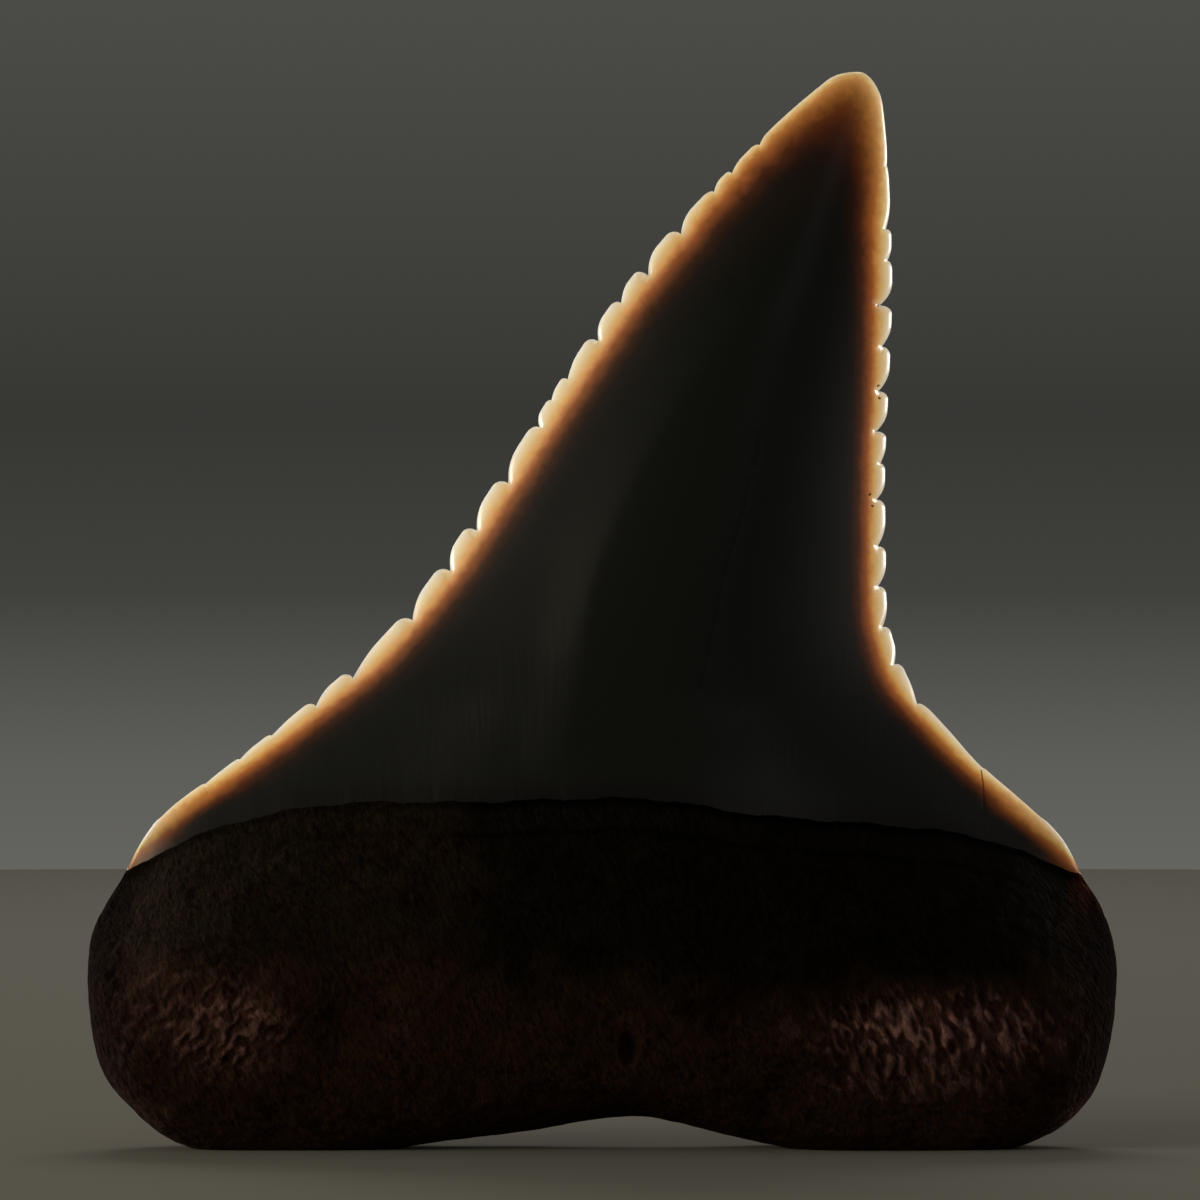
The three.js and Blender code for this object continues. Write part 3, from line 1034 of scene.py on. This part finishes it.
class NodeGraph:
    """A material's nodes, made and joined by short calls."""

    def __init__(self, material: bpy.types.Material | bpy.types.World) -> None:
        """Start from an empty node tree.

        Args:
            material: The material or world that the nodes are for.
        """
        material.use_nodes = True
        self.nodes = material.node_tree.nodes
        self.links = material.node_tree.links
        self.nodes.clear()

    def add(self, kind: str, inputs: dict, **settings: object) -> bpy.types.Node:
        """Make a node.

        Args:
            kind: The node's type name.
            inputs: Values or sockets, by input name or number.
            settings: Properties of the node.

        Returns:
            The node.
        """
        node = self.nodes.new(kind)
        for name, value in settings.items():
            setattr(node, name, value)
        for name, value in inputs.items():
            if isinstance(value, bpy.types.NodeSocket):
                self.links.new(value, node.inputs[name])
            else:
                node.inputs[name].default_value = value
        return node

    def scaled(self, vector: object, factors: Colour) -> bpy.types.NodeSocket:
        """Return a place with its three coordinates scaled."""
        node = self.add("ShaderNodeVectorMath", {0: vector, 1: factors}, operation="MULTIPLY")
        return node.outputs[0]

    def millimetres(self) -> bpy.types.NodeSocket:
        """Return the place on the object in millimetres."""
        place = self.add("ShaderNodeTexCoord", {}).outputs["Object"]
        return self.scaled(place, (1 / MM, 1 / MM, 1 / MM))

    def attribute(self, name: str) -> bpy.types.NodeSocket:
        """Return the value of a point attribute."""
        return self.add("ShaderNodeAttribute", {}, attribute_name=name).outputs["Fac"]

    def math(self, operation: str, *values: object) -> bpy.types.NodeSocket:
        """Return the result of a calculation."""
        node = self.add("ShaderNodeMath", dict(enumerate(values)), operation=operation)
        return node.outputs[0]

    def times(self, *values: object) -> bpy.types.NodeSocket:
        """Return the product of two values."""
        return self.math("MULTIPLY", *values)

    def plus(self, *values: object) -> bpy.types.NodeSocket:
        """Return the sum of two values."""
        return self.math("ADD", *values)

    def minus(self, *values: object) -> bpy.types.NodeSocket:
        """Return the first of two values less the second."""
        return self.math("SUBTRACT", *values)

    def fade(self, value: object, low: float, high: float) -> bpy.types.NodeSocket:
        """Make a smooth rise.

        Args:
            value: The number to place between the two limits.
            low: Where the rise starts.
            high: Where it ends.

        Returns:
            The rise, from 0 to 1.
        """
        node = self.add(
            "ShaderNodeMapRange",
            {"Value": value, "From Min": low, "From Max": high},
            interpolation_type="SMOOTHSTEP",
        )
        return node.outputs[0]

    def hump(self, value: object, middle: float, reach: float) -> bpy.types.NodeSocket:
        """Return a smooth hump, 1 at the middle and 0 beyond its reach."""
        off = self.math("ABSOLUTE", self.minus(value, middle))
        return self.fade(off, reach, 0.0)

    def centred(self, cloud: object, spread: float) -> bpy.types.NodeSocket:
        """Return a noise moved to lie around 0 and multiplied by its spread."""
        return self.times(self.minus(cloud, 0.5), spread)

    def mix(self, share: object, first: object, second: object) -> bpy.types.NodeSocket:
        """Mix two colours.

        Args:
            share: How much of the second colour is in the mix, from 0 to 1.
            first: A colour or a socket.
            second: A colour or a socket.

        Returns:
            The mixed colour.
        """
        colours = [(*c, 1) if isinstance(c, tuple) else c for c in (first, second)]
        node = self.add(
            "ShaderNodeMix", {0: share, 6: colours[0], 7: colours[1]}, data_type="RGBA"
        )
        return node.outputs[2]

    def ramp(self, value: object, stops: Sequence[tuple[float, Colour]]) -> bpy.types.NodeSocket:
        """Make a colour ramp.

        Args:
            value: The place on the ramp, from 0 to 1.
            stops: The places of its colours, each with the colour.

        Returns:
            The ramp's colour at the value.
        """
        node = self.add("ShaderNodeValToRGB", {0: value})
        elements = node.color_ramp.elements
        while len(elements) < len(stops):
            elements.new(1.0)
        for element, (place, colour) in zip(elements, stops):
            element.position = place
            element.color = (*colour, 1)
        return node.outputs[0]

    def noise(
        self, vector: object, scale: float, detail: float = 2, roughness: float = 0.5
    ) -> bpy.types.NodeSocket:
        """Make fractal noise.

        Args:
            vector: The place.
            scale: How many of its waves fit in one unit of the place.
            detail: How many finer layers it has.
            roughness: How strong each finer layer is.

        Returns:
            The noise, around 0.5.
        """
        node = self.add(
            "ShaderNodeTexNoise",
            {"Vector": vector, "Scale": scale, "Detail": detail, "Roughness": roughness},
        )
        return node.outputs[0]

    def paint(
        self, inputs: dict, bump_height: object, bump_mm: float, strength: object = 1.0
    ) -> None:
        """Make the shader of a finish, with a bump, and join it to the output.

        Args:
            inputs: Values or sockets of the shader, by input name.
            bump_height: The height of the bump, from 0 to 1.
            bump_mm: How far its full height stands out.
            strength: How much of it shows.
        """
        bump = self.add(
            "ShaderNodeBump",
            {"Height": bump_height, "Distance": bump_mm * MM, "Strength": strength},
        )
        shader = self.add(
            "ShaderNodeBsdfPrincipled",
            {**inputs, "Normal": bump.outputs[0]},
            subsurface_method="RANDOM_WALK",
        )
        self.add("ShaderNodeOutputMaterial", {"Surface": shader.outputs[0]})


@dataclass(frozen=True)
class EnamelFinish:
    """Glossy slate enamel, thin enough at its rim to let light through, its glow there also painted
    into its colour.
    """

    painted_glow_reach: float = 4.0
    # Base colour by optical depth: the thin rim is cream, partly the enamel's own pale edge and partly
    # a painted glow of light shining through, then amber, then slate.
    glow: tuple[tuple[float, Colour], ...] = (
        (0.1, (0.9, 0.7, 0.56)),
        (0.8, (0.88, 0.62, 0.46)),
        (1.2, (0.77, 0.48, 0.275)),
        (1.6, (0.35, 0.165, 0.066)),
        (2.1, (0.075, 0.033, 0.015)),
        (2.5, (0.026, 0.0155, 0.009)),
        (3.2, (0.0105, 0.0105, 0.0068)),
    )
    foot_line: Colour = (0.005, 0.003, 0.002)
    light_radius: tuple[float, float, float] = (1.0, 0.66, 0.42)
    light_scale: float = 0.006
    roughness: float = 0.3
    gloss: float = 0.45
    clear_depths: tuple[float, float] = (3.0, 1.4)
    cloud_scale: float = 0.35
    cloud_depth: float = 0.3
    fleck_scale: float = 2.6
    fleck_depth: float = 0.35
    foot_wave_scale: float = 2.2
    foot_wave: float = 0.3
    dusk_heights: tuple[float, float] = (1.2, 0.15)
    dusk: float = 0.85
    wrinkle_stretch: tuple[float, float, float] = (4.5, 1.0, 0.4)
    wrinkle_mm: float = 0.008
    wrinkle_least: float = 0.2
    wrinkle_gain: float = 0.9
    wrinkle_heights: tuple[float, float] = (9.0, 2.0)

    def material(self) -> bpy.types.Material:
        """Build the finish.

        Returns:
            The material.
        """
        material = bpy.data.materials.new("fossil_enamel")
        graph = NodeGraph(material)
        mm = graph.millimetres()
        optical = graph.attribute("optical_mm")
        above = graph.attribute("above_foot_mm")
        cloud = graph.centred(graph.noise(mm, self.cloud_scale, 3), self.cloud_depth)
        flecks = graph.centred(graph.noise(mm, self.fleck_scale, 3, 0.6), self.fleck_depth)
        wavering = graph.plus(optical, graph.plus(cloud, flecks))
        # Painted glow: pale and amber where the enamel is thin, slate where it is thick.
        stops = [(depth / self.painted_glow_reach, colour) for depth, colour in self.glow]
        colour = graph.ramp(graph.math("DIVIDE", wavering, self.painted_glow_reach), stops)
        wave = graph.times(graph.noise(mm, self.foot_wave_scale, 3), self.foot_wave)
        dusk = graph.times(graph.fade(graph.plus(above, wave), *self.dusk_heights), self.dusk)
        colour = graph.mix(dusk, colour, self.foot_line)
        colour = graph.mix(graph.fade(graph.attribute("scar"), 0.1, 0.8), colour, self.foot_line)
        wrinkle = graph.noise(graph.scaled(mm, self.wrinkle_stretch), 1.0, 3)
        near_foot = graph.times(graph.fade(above, *self.wrinkle_heights), self.wrinkle_gain)
        inputs = {
            "Base Color": colour,
            "Roughness": self.roughness,
            "Specular IOR Level": self.gloss,
            "Subsurface Weight": graph.fade(optical, *self.clear_depths),
            "Subsurface Radius": self.light_radius,
            "Subsurface Scale": self.light_scale,
        }
        strength = graph.plus(self.wrinkle_least, near_foot)
        graph.paint(inputs, wrinkle, self.wrinkle_mm, strength)
        return material


@dataclass(frozen=True)
class RootFinish:
    """Rough, pitted brown root: nearly black above its ridge, partly painted shade, and reddish below,
    with paler lobes and crests that are partly painted highlights and a painted glow at the distal
    end.
    """

    # Nearly black above the ridge: partly the root's own colour, partly painted shade on faces turned
    # up, away from the light.
    upper: Colour = (0.0084, 0.0065, 0.0035)
    olive: Colour = (0.0195, 0.0132, 0.0074)
    umber: Colour = (0.0225, 0.0126, 0.0072)
    band: Colour = (0.0105, 0.0088, 0.006)
    brown: Colour = (0.0335, 0.0162, 0.0082)
    wine: Colour = (0.0325, 0.0145, 0.0097)
    # Painted highlights, partly wear: the lighter lobe colour and the pinkish crest colour.
    lobe: Colour = (0.102, 0.044, 0.035)
    crest: Colour = (0.43, 0.21, 0.19)
    line: Colour = (0.002, 0.0014, 0.001)
    # Painted glow: bright orange at the distal end of the root, below the enamel's rim.
    ember: Colour = (0.2, 0.05, 0.015)
    ember_x: tuple[float, float] = (17.2, 18.4)
    ember_z: tuple[float, float] = (8.4, 10.0)
    cloud_scale: float = 0.45
    cloud_reach: float = 5.0
    grain_reach: float = 3.0
    left_start: tuple[float, float] = (-2.6, -7.4)
    blotch_scale: float = 1.1
    blotch_levels: tuple[float, float] = (0.42, 0.58)
    ridge: tuple[float, float] = (7.4, 4.8)
    wine_ends: tuple[float, float] = (16.0, 18.8)
    band_heights: tuple[float, float] = (-1.3, -1.05)
    crest_levels: tuple[float, float] = (0.4, 0.95)
    ledge_height: float = -1.22
    ledge_reach: float = 0.2
    line_heights: tuple[float, float] = (-0.45, -0.1)
    grain_lean: float = 0.5
    grain_stretch: tuple[float, float, float] = (1.3, 1.0, 0.65)
    grain_scale: float = 4.2
    grain_mm: float = 0.28
    mottle_scale: float = 1.0
    mottle: float = 1.7
    rough_scale: float = 0.6
    rough_levels: tuple[float, float] = (0.4, 0.62)
    least_shade: float = 0.3
    dim_ends: tuple[float, float] = (16.2, 18.8)
    dim: float = 0.7

    def colour(self, graph: NodeGraph, mm: object, grain: object) -> bpy.types.NodeSocket:
        """Work out the root's colour.

        Args:
            graph: The finish's nodes.
            mm: The place in millimetres.
            grain: The noise of the root's grains.

        Returns:
            The colour.
        """
        place = graph.add("ShaderNodeSeparateXYZ", {0: mm})
        above = graph.attribute("above_foot_mm")
        pale = graph.attribute("pale")
        x, z = place.outputs["X"], place.outputs["Z"]
        cloud = graph.centred(graph.noise(mm, self.cloud_scale, 3), self.cloud_reach)
        drift = graph.plus(cloud, graph.centred(grain, self.grain_reach))
        left = graph.fade(graph.plus(x, drift), *self.left_start)
        blotch = graph.fade(graph.noise(mm, self.blotch_scale, 3), *self.blotch_levels)
        upper = graph.mix(left, self.upper, graph.mix(blotch, self.olive, self.umber))
        lower = graph.mix(blotch, self.brown, self.wine)
        height = graph.minus(graph.plus(z, drift), left)
        # Dark above the ridge and brown below; the darkness above is partly painted shade.
        colour = graph.mix(graph.fade(height, *self.ridge), upper, lower)
        outer = graph.fade(graph.math("ABSOLUTE", x), *self.wine_ends)
        colour = graph.mix(graph.times(outer, 0.6), colour, self.wine)
        smooth = graph.times(graph.fade(above, *self.band_heights), 0.7)
        colour = graph.mix(smooth, colour, graph.mix(left, self.band, self.olive))
        # Painted highlights, partly wear: lighter lobes, with pinkish crests on them.
        colour = graph.mix(pale, colour, self.lobe)
        lit = graph.times(graph.fade(graph.attribute("crest"), *self.crest_levels), pale)
        colour = graph.mix(graph.times(lit, 0.75), colour, self.crest)
        firm = graph.minus(1.0, graph.times(left, 0.6))
        ledge = graph.hump(above, self.ledge_height, self.ledge_reach)
        colour = graph.mix(graph.times(ledge, graph.times(firm, 0.6)), colour, self.line)
        line = graph.times(graph.fade(above, *self.line_heights), firm)
        colour = graph.mix(line, colour, self.line)
        # Painted glow at the distal end of the root.
        lit_end = graph.times(graph.fade(x, *self.ember_x), graph.fade(z, *self.ember_z))
        return graph.mix(lit_end, colour, self.ember)

    def material(self) -> bpy.types.Material:
        """Build the finish.

        Returns:
            The material.
        """
        material = bpy.data.materials.new("fossil_root")
        graph = NodeGraph(material)
        mm = graph.millimetres()
        leaning = graph.add(
            "ShaderNodeVectorRotate",
            {"Vector": mm, "Angle": self.grain_lean},
            rotation_type="Y_AXIS",
        ).outputs[0]
        grain = graph.noise(graph.scaled(leaning, self.grain_stretch), self.grain_scale, 4, 0.6)
        mottle = graph.centred(graph.noise(mm, self.mottle_scale, 3, 0.6), self.mottle)
        rough = graph.fade(graph.noise(mm, self.rough_scale, 2), *self.rough_levels)
        contrast = graph.plus(2.0, graph.times(rough, 2.0))
        worn = graph.times(graph.centred(grain, 1.0), contrast)
        worn = graph.plus(worn, graph.plus(1.0, mottle))
        across = graph.add("ShaderNodeSeparateXYZ", {0: mm}).outputs["X"]
        outer = graph.fade(graph.math("ABSOLUTE", across), *self.dim_ends)
        dim = graph.minus(1.0, graph.times(outer, self.dim))
        shade = graph.times(graph.math("MAXIMUM", worn, self.least_shade), dim)
        colour = graph.add(
            "ShaderNodeVectorMath",
            {0: self.colour(graph, mm, grain), "Scale": shade},
            operation="SCALE",
        ).outputs[0]
        inputs = {"Base Color": colour, "Roughness": 1.0, "Specular IOR Level": 0.02}
        graph.paint(inputs, grain, self.grain_mm)
        return material


@dataclass(frozen=True)
class SoftLight:
    """A broad lamp of the studio, aimed at the middle of the tooth."""

    name: str
    place: tuple[float, float, float]
    size: tuple[float, float]
    watts: float
    colour: Colour = (1.0, 0.97, 0.93)
    target: tuple[float, float, float] = (0, 0, 0.02)
    only_tooth: bool = False

    def hang(self, tooth: bpy.types.Object) -> None:
        """Make the lamp, hidden from the camera itself.

        Args:
            tooth: The tooth, which some lamps light alone.
        """
        lamp = bpy.data.lights.new(self.name, "AREA")
        lamp.shape = "RECTANGLE"
        lamp.size, lamp.size_y = self.size
        lamp.energy = self.watts
        lamp.color = self.colour
        holder = bpy.data.objects.new(self.name, lamp)
        holder.location = self.place
        aim = Vector(self.target) - Vector(self.place)
        holder.rotation_euler = aim.to_track_quat("-Z", "Y").to_euler()
        holder.visible_camera = False
        bpy.context.collection.objects.link(holder)
        if self.only_tooth:
            lit = bpy.data.collections.new(f"lit_by_{self.name}")
            lit.objects.link(tooth)
            holder.light_linking.receiver_collection = lit


@dataclass
class Studio:
    """A plain pale floor under plain soft light, with most of the light from behind."""

    floor_radius: float = 0.3
    floor_corners: int = 128
    floor_colour: Colour = (0.52, 0.49, 0.43)
    lamps: tuple[SoftLight, ...] = (
        SoftLight("back_left", (-0.26, 0.15, 0.05), (0.1, 0.08), 0.85, only_tooth=True),
        SoftLight("back_right", (0.26, 0.15, 0.05), (0.1, 0.08), 0.58, only_tooth=True),
        SoftLight("back_top", (0.0, 0.25, 0.3), (0.2, 0.1), 0.12),
        SoftLight("front_left", (-0.45, -0.22, 0.11), (0.25, 0.14), 0.6, (1.0, 0.95, 0.73)),
        SoftLight("front_strip", (0.27, -0.36, 0.23), (0.12, 0.12), 0.01),
    )
    glow_heights: tuple[float, float] = (-0.035, 0.078)
    surroundings: tuple[tuple[float, float], ...] = (
        (0.0, 0.13),
        (0.13, 0.11),
        (0.32, 0.052),
        (0.52, 0.038),
        (0.8, 0.058),
        (1.0, 0.072),
    )
    tint: Colour = (1.0, 0.99, 0.9)

    def lay_floor(self) -> None:
        """Lay a round floor whose far edge closes the picture."""
        radius, corners = self.floor_radius, range(self.floor_corners)
        turns = [2 * math.pi * k / len(corners) for k in corners]
        rim = [(radius * math.cos(turn), radius * math.sin(turn), 0) for turn in turns]
        mesh = bpy.data.meshes.new("floor")
        mesh.from_pydata(rim, [], [list(corners)])
        floor = bpy.data.objects.new("floor", mesh)
        bpy.context.collection.objects.link(floor)
        material = bpy.data.materials.new("floor")
        graph = NodeGraph(material)
        shader = graph.add(
            "ShaderNodeBsdfPrincipled",
            {
                "Base Color": (*self.floor_colour, 1),
                "Roughness": 0.8,
                "Specular IOR Level": 0.1,
            },
        )
        graph.add("ShaderNodeOutputMaterial", {"Surface": shader.outputs[0]})
        mesh.materials.append(material)

    def light(self, tooth: bpy.types.Object) -> None:
        """Hang the lamps and set the dim surroundings.

        Args:
            tooth: The tooth that the lamps are for.
        """
        for lamp in self.lamps:
            lamp.hang(tooth)
        world = bpy.data.worlds.new("studio")
        graph = NodeGraph(world)
        direction = graph.add("ShaderNodeTexCoord", {}).outputs["Generated"]
        height = graph.add("ShaderNodeSeparateXYZ", {0: direction}).outputs["Z"]
        low, high = self.glow_heights
        share = graph.add(
            "ShaderNodeMapRange", {"Value": height, "From Min": low, "From Max": high}
        ).outputs[0]
        stops = [(at, tuple(level * c for c in self.tint)) for at, level in self.surroundings]
        glow = graph.add("ShaderNodeBackground", {"Color": graph.ramp(share, stops)})
        graph.add("ShaderNodeOutputWorld", {"Surface": glow.outputs[0]})
        bpy.context.scene.world = world
        bpy.context.scene.view_settings.view_transform = "Standard"


@dataclass(frozen=True)
class PhotoCamera:
    """The camera at the photograph's viewing angle, level with the middle of the tooth."""

    sensor_mm: float = 36
    picture_width_mm: float = 44.4
    distance_mm: float = 285
    middle_mm: tuple[float, float] = (-0.09, 20.35)
    clip: tuple[float, float] = (0.01, 10)

    def place(self) -> None:
        """Set up the scene's camera."""
        data = bpy.data.cameras.new("camera")
        data.sensor_width = self.sensor_mm
        data.lens = self.sensor_mm * self.distance_mm / self.picture_width_mm
        data.clip_start, data.clip_end = self.clip
        camera = bpy.data.objects.new("camera", data)
        x, z = self.middle_mm
        camera.location = (x * MM, -self.distance_mm * MM, z * MM)
        camera.rotation_euler = (math.pi / 2, 0, 0)
        bpy.context.collection.objects.link(camera)
        bpy.context.scene.camera = camera


def main() -> None:
    """Build the tooth, dress it and set the studio around it."""
    logging.basicConfig(level=logging.INFO, format="%(name)s: %(message)s")
    tooth = Tooth(ToothOutline(), ToothForm(), Density()).build()
    for finish in (EnamelFinish(), RootFinish()):
        tooth.data.materials.append(finish.material())
    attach(tooth, "root")
    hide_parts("tooth")
    LOG.info("fossil_tooth dressed")
    studio = Studio()
    studio.lay_floor()
    studio.light(tooth)
    PhotoCamera().place()


if __name__ == "__main__":
    main()
